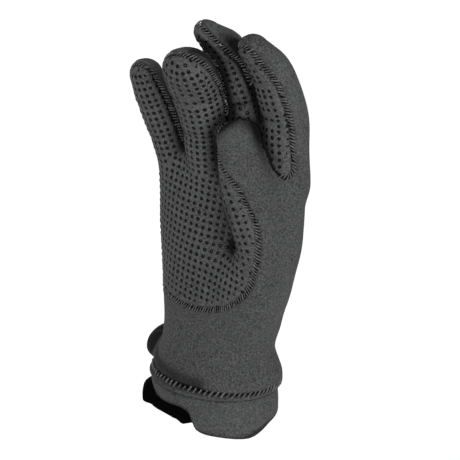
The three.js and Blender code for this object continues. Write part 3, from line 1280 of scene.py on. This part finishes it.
@dataclass
class Panels:
    """The two sewn cloth panels of the hand."""

    hand: HandField
    pitch: float = 1.1
    gap: float = 0.03
    edge_roundness: float = 0.7
    rim_roundness: float = 1.6
    inner_roundness: float = 0.4

    def build(self) -> tuple[bpy.types.Object, bpy.types.Object]:
        """Make both panels.

        Returns:
            The back panel and the palm panel.
        """
        grid = sample_hand(self.hand, self.pitch, WALL)
        cuff_pull = 1.2 * bell(grid.height - CUFF_SEAM_Z, 1.5)
        outside = grid.skin + self.hand.seam_relief(grid.edge) + cuff_pull[None, None, :]
        cloth = soft_max(outside, -WALL - grid.skin, self.inner_roundness)
        rim = (CUFF_SEAM_Z + self.gap - grid.height)[None, None, :]
        cloth = soft_max(cloth, rim, self.rim_roundness)
        back = soft_max(cloth, self.gap - grid.edge, self.edge_roundness)
        palm = soft_max(cloth, self.gap + grid.edge, self.edge_roundness)
        return (
            self.piece("back_cloth", back, grid, Finish.SMOOTH, "smooth_neoprene", "back_panel"),
            self.piece("palm_cloth", palm, grid, Finish.GRIP, "grip_neoprene", "palm_panel"),
        )

    def piece(self, name: str, values: Array, grid: Grid, finish: Finish, slot: str,
              node: str) -> bpy.types.Object:
        """Make one panel from its field.

        Args:
            name: the object's name.
            values: the panel's field on the grid.
            grid: the grid it was sampled on.
            finish: its finish.
            slot: the record's material slot; not used.
            node: the CAD node it stands for.

        Returns:
            The panel.
        """
        vertices, quads = main_part(*surface_net(values, grid.low, grid.pitch))
        seam = np.abs(self.hand.sample(vertices)[1])
        made = new_object(name, vertices, quads, {"seam_gap": np.minimum(seam, FAR_FROM_SEAM)})
        outward = np.empty(len(vertices) * 3, np.float32)
        made.data.vertex_normals.foreach_get("vector", outward)
        # Painted shade for the cloth's colour, kept on the vertices.
        add_attribute(made.data, "painted_shade", self.hand.painted_shade(vertices, outward.reshape(-1, 3)))
        dress(made, FINISHES[finish])
        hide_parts(node)
        return made


@dataclass
class Seam:
    """The stitched line between the panels, found on the skin."""

    hand: HandField
    pitch: float = 1.5
    shortest: int = 20

    def loops(self) -> list[Array]:
        """Follow the seam over the skin.

        Returns:
            Places along each of its loops.
        """
        grid = sample_hand(self.hand, self.pitch, 0.5)
        vertices, quads = main_part(*surface_net(grid.skin, grid.low, grid.pitch))
        edge = self.hand.sample(vertices)[1]
        links: dict[tuple[int, int], list[tuple[int, int]]] = {}
        places: dict[tuple[int, int], Array] = {}
        crossed = quads[(edge[quads].min(1) < 0) & (edge[quads].max(1) >= 0)]
        for quad in crossed:
            cuts = []
            for one, two in zip(quad, np.roll(quad, -1)):
                if (edge[one] < 0) != (edge[two] < 0):
                    key = (min(one, two), max(one, two))
                    t = edge[one] / (edge[one] - edge[two])
                    places[key] = vertices[one] * (1 - t) + vertices[two] * t
                    cuts.append(key)
            if len(cuts) == 2:
                links.setdefault(cuts[0], []).append(cuts[1])
                links.setdefault(cuts[1], []).append(cuts[0])
        loops = []
        while links:
            start = next(iter(links))
            path, here = [start], start
            while links.get(here):
                following = links[here].pop()
                if here in links.get(following, []):
                    links[following].remove(here)
                here = following
                path.append(here)
            for key in path:
                if key in links and not links[key]:
                    del links[key]
            if len(path) > self.shortest:
                loops.append(np.array([places[key] for key in path]))
        return loops


def resample(path: Array, step: float, smoothing: int = 6) -> Array:
    """Smooth a closed or open path and divide it evenly.

    Args:
        path: places along the path.
        step: about how far apart the new places are.
        smoothing: how often it is smoothed.

    Returns:
        The new places.
    """
    path = path.copy()
    closed = np.linalg.norm(path[0] - path[-1]) < 4
    for _ in range(smoothing):
        if closed:
            path = (np.roll(path, 1, 0) + 2 * path + np.roll(path, -1, 0)) / 4
        else:
            path[1:-1] = (path[:-2] + 2 * path[1:-1] + path[2:]) / 4
    if closed:
        path = np.vstack([path, path[:1]])
    run = np.concatenate([[0], np.cumsum(np.linalg.norm(np.diff(path, axis=0), axis=1))])
    stops = np.linspace(0, run[-1], max(int(run[-1] / step), 2), endpoint=not closed)
    return np.stack([np.interp(stops, run, path[:, i]) for i in range(3)], 1)


THREAD_SIDES = 6
THREAD_SEED = 5
THREAD_JITTER = 0.25
DOT_SEED = 11
DOT_JITTER = 0.06


def thread_tree(name: str) -> Repeater:
    """Make a tree that bridges a seam with small arches of thread.

    Args:
        name: the tree's name.

    Returns:
        The tree, with inputs for the stitch's sizes and its thread.
    """
    tree = Repeater(name)
    tree.size("Span", 0.003)
    tree.size("Rise", 0.0006)
    tree.size("Slant", 0.001)
    tree.size("Thread Radius", 0.0003)
    tree.material("Thread")
    half, other_half = tree.times("Span", -0.5), tree.times("Span", 0.5)
    lean, other_lean = tree.times("Slant", -0.5), tree.times("Slant", 0.5)
    sunk, lifted = tree.times("Rise", -0.6), tree.times("Rise", 2.4)
    start = tree.node("ShaderNodeCombineXYZ", None, {"X": lean, "Y": half, "Z": sunk})
    end = tree.node("ShaderNodeCombineXYZ", None, {"X": other_lean, "Y": other_half, "Z": sunk})
    top = tree.node("ShaderNodeCombineXYZ", None, {"Z": lifted})
    arch = tree.node("GeometryNodeCurveQuadraticBezier", None, {
        "Resolution": THREAD_SIDES, "Start": start.outputs[0], "Middle": top.outputs[0],
        "End": end.outputs[0]})
    ring = tree.node("GeometryNodeCurvePrimitiveCircle", None,
                     {"Resolution": THREAD_SIDES, "Radius": tree.input("Thread Radius")})
    tube = tree.node("GeometryNodeCurveToMesh", None, {
        "Curve": arch.outputs[0], "Profile Curve": ring.outputs[0], "Fill Caps": True})
    tree.scatter(tube.outputs[0], "Thread", THREAD_SEED, THREAD_JITTER)
    return tree


@dataclass
class PanelStitches:
    """Overlock thread along the palm panel's edge."""

    hand: HandField
    loops: list[Array]
    step: float = 1.9
    span: float = 2.9
    slant: float = 1.9
    rise: float = 0.26
    radius: float = 0.33
    stray: float = 0.12
    wander: float = 0.12
    seed: int = 17

    def build(self) -> bpy.types.Object:
        """Make the stitches.

        Returns:
            All stitches as one mesh.
        """
        paths = [resample(loop, self.step) for loop in self.loops]
        points = np.vstack(paths)
        ahead = np.vstack([self.tangents(path) for path in paths])
        draw = np.random.default_rng(self.seed)
        points = points + draw.normal(0, self.stray, points.shape)
        ahead = unit(ahead + draw.normal(0, self.wander, ahead.shape))
        points, up = self.hand.settle(points)
        sewn = self.hand.sewn(points)
        carrier = new_object("stitch_points", points[sewn], [],
                             {"up": up[sewn], "ahead": ahead[sewn]})
        tree = thread_tree("panel_stitches")
        made = tree.make(carrier, "palm_seam_stitches", {
            "Span": self.span * MM, "Rise": self.rise * MM, "Slant": self.slant * MM,
            "Thread Radius": self.radius * MM, "Thread": FINISHES[Finish.THREAD]})
        dress(made, FINISHES[Finish.THREAD])
        return made

    @staticmethod
    def tangents(points: Array) -> Array:
        """Directions along a path."""
        return unit(np.roll(points, -1, 0) - np.roll(points, 1, 0))


@dataclass
class GripDots:
    """Raised rubber dots in rows over the palm panel."""

    hand: HandField
    pitch: float = 4.2
    radius: float = 1.22
    height: float = 0.36
    row_tilt: float = -10.0
    seam_margin: float = 2.2
    closest: float = 3.1
    furthest: float = 4.0
    turn: tuple[float, float, float] = (0.31, 0.17, 0.93)
    first_row_z: float = 60.0
    rows: int = 60
    middle_x: float = 12.0
    reach_x: float = 52.0
    row_shift: float = 0.5

    def build(self) -> bpy.types.Object:
        """Make the dots.

        Returns:
            All dots as one mesh.
        """
        digits = [self.digit_places(digit) for digit in (THUMB, *FINGERS)]
        raw = np.vstack([self.palm_places(), *digits])
        points, up = self.hand.settle(raw, 4)
        skin, edge = self.hand.sample(points)
        moved = np.linalg.norm(points - raw, axis=1)
        kept = (edge < -self.seam_margin) & (np.abs(skin) < 0.3) & (moved < self.furthest)
        points, up = self.spaced(points[kept], up[kept])
        ahead = unit(np.cross(up, np.array(self.turn)))
        log.info("grip dots: %d", len(points))
        carrier = new_object("dot_points", points, [], {"up": up, "ahead": ahead})
        made = self.tree().make(carrier, "grip_dots", {
            "Radius": self.radius * MM, "Height": self.height * MM,
            "Rubber": FINISHES[Finish.RUBBER]})
        dress(made, FINISHES[Finish.RUBBER])
        return made

    @staticmethod
    def tree() -> Repeater:
        """Make the tree that sets a flat dome on each point.

        Returns:
            The tree, with inputs for the dome's sizes and its rubber.
        """
        tree = Repeater("grip_dots")
        tree.size("Radius", 0.001)
        tree.size("Height", 0.0004)
        tree.material("Rubber")
        ball = tree.node("GeometryNodeMeshUVSphere", None,
                         {"Segments": 10, "Rings": 6, "Radius": 1.0})
        scale = tree.node("ShaderNodeCombineXYZ", None, {
            "X": tree.input("Radius"), "Y": tree.input("Radius"), "Z": tree.input("Height")})
        flat = tree.node("GeometryNodeTransform", None,
                         {"Geometry": ball.outputs[0], "Scale": scale.outputs[0]})
        tree.scatter(flat.outputs[0], "Rubber", DOT_SEED, DOT_JITTER)
        return tree

    def palm_places(self) -> Array:
        """Lay rows across the palm, spaced along the cloth.

        Returns:
            A place for each dot.
        """
        slope = math.tan(math.radians(self.row_tilt))
        across = self.reach_x * np.sin(np.linspace(-math.pi / 2, math.pi / 2, 240))
        x = self.middle_x + across
        places = []
        for row in range(self.rows):
            z = self.first_row_z + row * self.pitch + (x - self.middle_x) * slope
            front = np.stack([x, np.full_like(x, -60.0), z], 1)
            for _ in range(40):
                front[:, 1] += np.clip(self.hand.trunk(front) * 0.8, -2, 3)
                front[:, 1] = np.minimum(front[:, 1], 8)
            hit = front[np.abs(self.hand.trunk(front)) < 0.5]
            if len(hit) < 3:
                continue
            run = np.concatenate([[0], np.cumsum(np.linalg.norm(np.diff(hit, axis=0), axis=1))])
            centre = np.interp(self.middle_x, hit[:, 0], run) + row * self.row_shift
            first = math.ceil(-centre / self.pitch)
            stops = np.arange(centre + first * self.pitch, run[-1], self.pitch)
            places.append(np.stack([np.interp(stops, run, hit[:, i]) for i in range(3)], 1))
        return np.vstack(places)

    def digit_places(self, digit: Digit) -> Array:
        """Lay rows across a digit, in columns that follow it.

        Args:
            digit: the finger or thumb.

        Returns:
            A place for each dot.
        """
        mean = float((digit.width.mean() + digit.thick.mean()) / 2)
        shares, mean_radius = digit.run / digit.length, (digit.width + digit.thick) / 2
        turns = np.arange(-6, 7) * self.pitch / mean
        spans = np.array([(span.share, span.start, span.end) for span in digit.seam])
        places = []
        tip = float(digit.width[-1] + digit.thick[-1]) / 2
        for run in np.arange(2.0, digit.length + tip * 1.2, self.pitch):
            share = min(run / digit.length, 1.0)
            centre = np.array([np.interp(share, shares, digit.centres[:, i]) for i in range(3)])
            ahead, _ = digit.directions(np.array(share))
            start, end = (np.interp(share, spans[:, 0], spans[:, i]) for i in (1, 2))
            middle = math.radians((start + end) / 2)
            radius = float(np.interp(share, shares, mean_radius))
            over = max(run - digit.length, 0) / tip
            for turn in turns:
                way = np.array([math.sin(middle + turn), -math.cos(middle + turn), 0.0])
                way = unit(way - ahead * (way @ ahead))
                places.append(centre + way * radius * math.cos(over) + ahead * tip * math.sin(over))
        return np.array(places)

    def spaced(self, points: Array, up: Array) -> tuple[Array, Array]:
        """Drop dots that crowd an earlier one.

        Args:
            points: places of the dots.
            up: the way each one faces.

        Returns:
            The places and directions that are kept.
        """
        kept: list[int] = []
        for i, point in enumerate(points):
            if not kept or np.min(np.linalg.norm(points[kept] - point, axis=1)) > self.closest:
                kept.append(i)
        return points[kept], up[kept]


@dataclass(frozen=True)
class HemRow:
    """Height of the cuff's hem and of its lining's edge, at an azimuth from -Y to +X."""

    azimuth: float
    band: float
    lining: float


HEM_ROWS = (
    HemRow(-180, 7, 9), HemRow(-130, 11, 10), HemRow(-105, 20, 11), HemRow(-75, 26, 12),
    HemRow(-60, 25, 11.5), HemRow(-50, 20.5, 9.2), HemRow(-40, 16.5, 9.3), HemRow(-20, 17.5, 10.4),
    HemRow(-8, 18.5, 10.8), HemRow(1, 16.5, 8.3), HemRow(10, 5, 6), HemRow(18, 3, 6),
    HemRow(30, 2.3, 6), HemRow(56, 1, 5), HemRow(90, 8, 11), HemRow(120, 9, 12),
    HemRow(180, 7, 9),
)
HEM_TABLE = SmoothTable([row.azimuth for row in HEM_ROWS],
                        [(row.band, row.lining) for row in HEM_ROWS])


# Bumps: where each one is, its height and its half width. The band's welt lies between two
# grooves below the cuff seam, and its rolled hem and the grooves get painted shade.
BAND_RELIEF = ((2.4, 1.3, 1.3), (4.6, -1.1, 0.7), (0.0, -1.3, 1.1))
HEM_SHADES = ((0.0, 0.5, 2.4),)
GROOVE_SHADES = ((0.0, 0.55, 1.1), (4.5, 0.3, 0.8))


def relief(place: Array, bumps: Sequence[tuple[float, float, float]]) -> Array:
    """The sum of soft bumps at places along a line."""
    return np.sum([height * bell(place - at, width) for at, height, width in bumps], axis=0)


def wrapped(azimuth: Array) -> Array:
    """An azimuth brought between -180 and 180 degrees."""
    return (azimuth + 180) % 360 - 180


def hand_ring(angle: Array, z: Array, outset: Array) -> Array:
    """Walk round the hand's section.

    Args:
        angle: angles from +X.
        z: height at each angle.
        outset: how far the section is grown there.

    Returns:
        Points of the section.
    """
    cx, cy, a, b, n = np.moveaxis(HAND_TABLE.at(z), -1, 0)
    c, s = np.cos(angle), np.sin(angle)
    power = 2 / n
    x = cx + (a + outset) * np.sign(c) * np.abs(c) ** power
    y = cy + (b + outset) * np.sign(s) * np.abs(s) ** power
    return np.stack([x, y, z], -1)


def sleeve(name: str, profile: Callable[[Array, Array], Array], turns: int,
           steps: int) -> bpy.types.Object:
    """A closed sleeve from points over an angle round it and a share round its wall's section.

    Args:
        name: the object's name.
        profile: gives points for arrays of angles and shares.
        turns: points round the sleeve.
        steps: points round the section of its wall.

    Returns:
        The sleeve.
    """
    angles, shares = np.arange(turns) * 2 * math.pi / turns, np.arange(steps) / steps
    angle, share = np.meshgrid(angles, shares, indexing="ij")
    points = profile(angle, share).reshape(-1, 3)
    i, j = np.meshgrid(np.arange(turns), np.arange(steps), indexing="ij")
    following, beside = (i + 1) % turns, (j + 1) % steps
    faces = np.stack([i * steps + j, following * steps + j, following * steps + beside,
                      i * steps + beside], -1)
    seam_gap = np.full(len(points), FAR_FROM_SEAM)
    return new_object(name, points, faces.reshape(-1, 4), {"seam_gap": seam_gap})


def wall_section(share: Array, tall: float, thick: float) -> tuple[Array, Array]:
    """Walk round a rounded wall: up its outside, over its top, down its inside.

    Args:
        share: how far round, from 0 to 1.
        tall: height of the wall.
        thick: its thickness.

    Returns:
        Height share from 0 to 1, and depth below the outside.
    """
    t = share * 4
    up = np.clip(t / 1.8, 0, 1)
    over = np.clip((t - 1.8) / 0.2, 0, 1)
    down = np.clip((t - 2.0) / 1.8, 0, 1)
    under = np.clip((t - 3.8) / 0.2, 0, 1)
    level = up - down
    depth = thick * (over - under)
    ease = thick / tall * 0.25
    rounding = np.sin(math.pi * over) - np.sin(math.pi * under)
    level = level * (1 - 2 * ease) + ease + ease * rounding
    return level, depth


@dataclass
class Cuff:
    """The band below the wrist seam, its black sleeve and their stitches."""

    band_tall: float = 28.0
    lining_tall: float = 36.0
    lining: float = 1.0
    lining_gap: float = 0.5
    lining_top: float = 46.0
    flare: float = 10.5
    hem_roll: float = 1.2
    stitch_count: int = 74
    stitch_span: float = 3.8
    stitch_slant: float = 2.6
    stitch_rise: float = 0.2
    thread_radius: float = 0.5

    def band_point(self, angle: Array, share: Array) -> Array:
        """Walk over the band's skin.

        Args:
            angle: angles round the cuff from +X.
            share: shares of the way round the wall's section.

        Returns:
            A point for each pair.
        """
        level, depth = wall_section(share, self.band_tall, WALL)
        hem = HEM_TABLE.at(wrapped(np.degrees(angle) + 90))[..., 0] - self.hem_roll
        top = CUFF_SEAM_Z - CUFF_GAP
        z = hem + (top - hem) * level
        below = top - z
        swell = relief(below, BAND_RELIEF)
        curl = -1.3 * ramp(1 - (z - hem) / 3.5) ** 2
        body = 0.5 * np.sin(np.clip((z - hem) / 22, 0, 1) * math.pi)
        outer = swell + curl + body
        return hand_ring(angle, z, np.where(depth < WALL / 2, outer, curl) - depth)

    def lining_point(self, angle: Array, share: Array) -> Array:
        """Walk over the sleeve's skin.

        Args:
            angle: angles round the cuff from +X.
            share: shares of the way round the wall's section.

        Returns:
            A point for each pair.
        """
        level, depth = wall_section(share, self.lining_tall, self.lining)
        azimuth = np.degrees(angle) + 90
        edge = HEM_TABLE.at(wrapped(azimuth))[..., 1]
        z = edge + (self.lining_top - edge) * level
        hems = [HEM_TABLE.at(wrapped(azimuth + turn))[..., 0] for turn in (-2, 0, 2)]
        hem = np.min(hems, axis=0)
        bare = ramp((hem - 2 - z) / 9)
        return hand_ring(angle, z, bare * self.flare - WALL - self.lining_gap - depth)

    def band_painted_shade(self, band: bpy.types.Object) -> Array:
        """Paint shade on the band's skin at its rolled hem and in the grooves beside the welt.

        Args:
            band: the band's object.

        Returns:
            The painted shade of each vertex.
        """
        places = np.empty(len(band.data.vertices) * 3, np.float32)
        band.data.vertices.foreach_get("co", places)
        x, y, z = places.reshape(-1, 3).T / MM
        hem = HEM_TABLE.at(wrapped(np.degrees(np.arctan2(y, x)) + 90))[..., 0]
        below = CUFF_SEAM_Z - CUFF_GAP - z
        return relief(z - hem, HEM_SHADES) + relief(below, GROOVE_SHADES)

    def build(self) -> list[bpy.types.Object]:
        """Make the cuff.

        Returns:
            The band, the lining and the cuff's stitches.
        """
        band = sleeve("cuff_band_cloth", self.band_point, 220, 150)
        # Painted shade at the band's rolled hem and in its grooves.
        add_attribute(band.data, "painted_shade", self.band_painted_shade(band))
        dress(band, FINISHES[Finish.SMOOTH])
        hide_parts("cuff_band")
        inner = sleeve("cuff_lining_cloth", self.lining_point, 200, 48)
        dress(inner, FINISHES[Finish.LINING])
        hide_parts("cuff_lining")
        return [band, inner, self.stitches()]

    def stitches(self) -> bpy.types.Object:
        """Make the slanted overlock thread round the cuff seam.

        Returns:
            All its stitches as one mesh.
        """
        angle = np.arange(self.stitch_count) * 2 * math.pi / self.stitch_count
        z = np.full(self.stitch_count, CUFF_SEAM_Z + CUFF_GAP)
        points = hand_ring(angle, z, np.zeros(self.stitch_count))
        ahead = PanelStitches.tangents(points)
        up = unit(np.cross(ahead, np.array([0.0, 0.0, 1.0])))
        carrier = new_object("cuff_stitch_points", points, [], {"up": up, "ahead": ahead})
        made = thread_tree("cuff_stitches").make(carrier, "cuff_seam_stitches", {
            "Span": self.stitch_span * MM, "Rise": self.stitch_rise * MM,
            "Slant": self.stitch_slant * MM, "Thread Radius": self.thread_radius * MM,
            "Thread": FINISHES[Finish.THREAD]})
        dress(made, FINISHES[Finish.THREAD])
        return made


def heading(azimuth: float, elevation: float) -> Vector:
    """Work out a direction.

    Args:
        azimuth: degrees round, 0 at -Y and 90 at +X.
        elevation: degrees above the horizon.

    Returns:
        The direction.
    """
    turn, lift = math.radians(azimuth), math.radians(elevation)
    flat = math.cos(lift)
    return Vector((math.sin(turn) * flat, -math.cos(turn) * flat, math.sin(lift)))


@dataclass(frozen=True)
class Studio:
    """Camera, lights, backdrop and floor."""

    azimuth: float = 33.0
    elevation: float = 19.0
    distance: float = 700.0
    aim: tuple[float, float, float] = (0.0, 0.0, 129.0)
    mm_per_pixel: float = 0.62
    frame_pixels: int = 460
    aim_pixel: tuple[float, float] = (214.0, 230.0)
    floor_drop: float = 1500.0
    floor_reach: float = 30000.0
    floor_glow: float = 0.45
    sky_strength: float = 0.5
    sun_spread: float = 25.0

    def axes(self) -> tuple[Vector, Vector, Vector]:
        """Work out the camera's directions.

        Returns:
            Right, up and backward.
        """
        back = heading(self.azimuth, self.elevation)
        turn = math.radians(self.azimuth)
        right = Vector((math.cos(turn), math.sin(turn), 0))
        return right, back.cross(right), back

    def camera(self) -> None:
        """Place the camera so that the aim point falls on its pixel."""
        right, up, back = self.axes()
        data = bpy.data.cameras.new("view")
        data.sensor_width = 36
        data.sensor_fit = "HORIZONTAL"
        data.lens = data.sensor_width * (self.distance / self.mm_per_pixel) / self.frame_pixels
        data.clip_end = 50
        centre = self.frame_pixels / 2
        shift = right * (centre - self.aim_pixel[0]) + up * (self.aim_pixel[1] - centre)
        target = Vector(self.aim) + shift * self.mm_per_pixel
        made = bpy.data.objects.new("view", data)
        turn = Matrix((right, up, back)).transposed().to_4x4()
        made.matrix_world = Matrix.Translation((target + back * self.distance) * MM) @ turn
        bpy.context.scene.collection.objects.link(made)
        bpy.context.scene.camera = made

    def light(self, name: str, place: tuple[float, float, float], size: float,
              power: float) -> None:
        """Set up a square soft light aimed at the glove.

        Args:
            name: the light's name.
            place: where it stands, in metres.
            size: its side in metres.
            power: its power in watts.
        """
        data = bpy.data.lights.new(name, "AREA")
        data.size = size
        data.energy = power
        made = bpy.data.objects.new(name, data)
        made.location = place
        aim = Vector(self.aim) * MM - Vector(place)
        made.rotation_euler = aim.to_track_quat("-Z", "Y").to_euler()
        bpy.context.scene.collection.objects.link(made)

    def sun(self, name: str, azimuth: float, elevation: float, power: float) -> None:
        """Set up even soft light.

        Args:
            name: the light's name.
            azimuth: where it comes from in degrees, 0 at -Y and 90 at +X.
            elevation: its height above the horizon in degrees.
            power: its strength.
        """
        data = bpy.data.lights.new(name, "SUN")
        data.energy = power
        data.angle = math.radians(self.sun_spread)
        way = heading(azimuth, elevation)
        made = bpy.data.objects.new(name, data)
        made.location = way * 2
        made.rotation_euler = (-way).to_track_quat("-Z", "Y").to_euler()
        bpy.context.scene.collection.objects.link(made)

    def build(self) -> None:
        """Make the whole studio."""
        self.camera()
        self.sun("daylight", azimuth=92, elevation=0, power=2.9)
        self.sun("fill", azimuth=8, elevation=26, power=1.1)
        self.light("glint", place=(0.45, -0.95, 0.7), size=0.12, power=5)
        corners = [(x * self.floor_reach, y * self.floor_reach, -self.floor_drop)
                   for x, y in ((-1, -1), (1, -1), (1, 1), (-1, 1))]
        floor = new_object("floor", np.array(corners), [(0, 1, 2, 3)])
        graph = Graph("pale_floor")
        soft = graph.noise(3, 2)
        colour = graph.mix(soft, grey(0.84), grey(0.88))
        floor.data.materials.append(graph.finish({
            "Base Color": colour, "Roughness": 0.9, "Emission Color": grey(1.0),
            "Emission Strength": self.floor_glow}))
        world = bpy.data.worlds.new("soft_sky")
        world.use_nodes = True
        shade = world.node_tree.nodes["Background"]
        shade.inputs[0].default_value = (1, 1, 1, 1)
        shade.inputs[1].default_value = self.sky_strength
        bpy.context.scene.world = world
        bpy.context.scene.view_settings.view_transform = "Standard"


FINISHES: dict[Finish, bpy.types.Material] = {}


def main() -> None:
    """Build every piece of the glove and the studio."""
    logging.basicConfig(level=logging.INFO, format="%(name)s: %(message)s")
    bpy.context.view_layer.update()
    FINISHES.update({finish: finish.value.build() for finish in Finish})
    Studio().build()
    hand = HandField()
    for piece in Panels(hand).build():
        log.info("%s: %d faces", piece.name, len(piece.data.polygons))
    loops = Seam(hand).loops()
    log.info("seam loops: %s", [len(loop) for loop in loops])
    pieces = [PanelStitches(hand, loops).build(), GripDots(hand).build(), *Cuff().build()]
    for piece in pieces:
        log.info("%s: %d faces", piece.name, len(piece.data.polygons))


if __name__ == "__main__":
    main()
